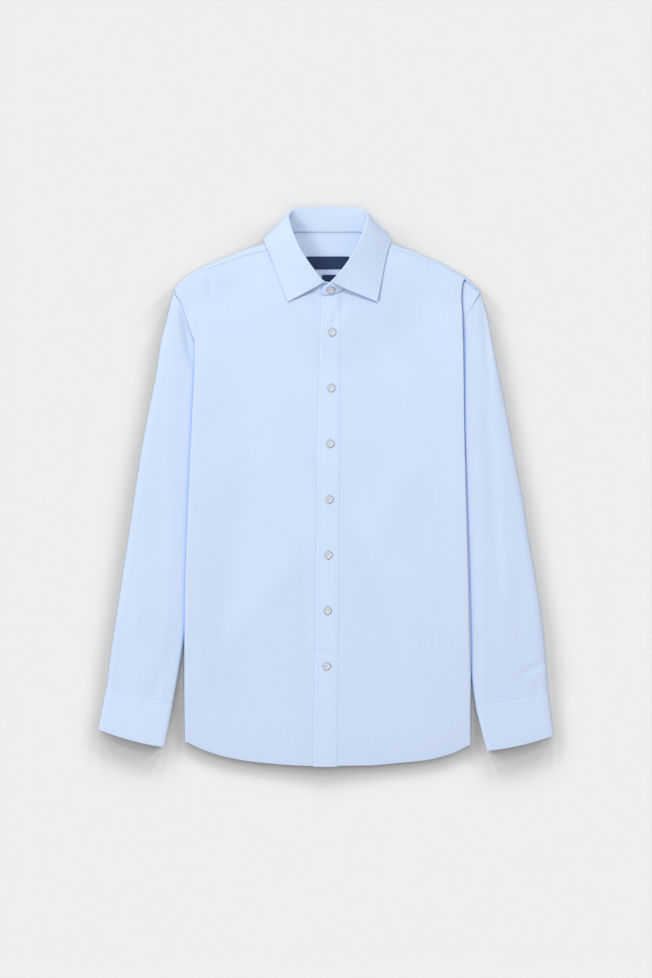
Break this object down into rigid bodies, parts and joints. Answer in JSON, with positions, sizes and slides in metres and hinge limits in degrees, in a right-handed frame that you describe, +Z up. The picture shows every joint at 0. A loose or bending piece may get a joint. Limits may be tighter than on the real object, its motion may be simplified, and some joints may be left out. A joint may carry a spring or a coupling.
{
  "type": "long sleeve dress shirt",
  "caption": "Light blue dress shirt with a point collar, a buttoned placket and long cuffed sleeves, lying flat on its back.",
  "frame": {"origin": "middle of the shirt's outline, on the surface that it lies on", "axes": "+X across the shirt to the wearer's left, +Y along it from the hem to the collar, +Z up from the surface"},
  "size_m": [0.6853, 0.842, 0.0405],
  "materials": {
    "cloth": "light blue cotton poplin, matt",
    "fused_cloth": "light blue cotton poplin over interfacing, matt",
    "label_tape": "navy woven tape",
    "pearl": "white pearl, polished"
  },
  "bodies": {
    "root": {"back": "cloth", "yoke": "cloth", "front_right": "cloth", "front_left": "cloth", "placket": "fused_cloth", "sleeve_right": "cloth", "sleeve_left": "cloth", "cuff_right": "fused_cloth", "cuff_left": "fused_cloth", "collar_stand": "fused_cloth", "collar_leaf": "fused_cloth", "label_main": "label_tape", "label_size": "label_tape", "button_collar": "pearl", "button_front_1": "pearl", "button_front_2": "pearl", "button_front_3": "pearl", "button_front_4": "pearl", "button_front_5": "pearl", "button_front_6": "pearl", "button_front_7": "pearl"}
  },
  "joints": []
}
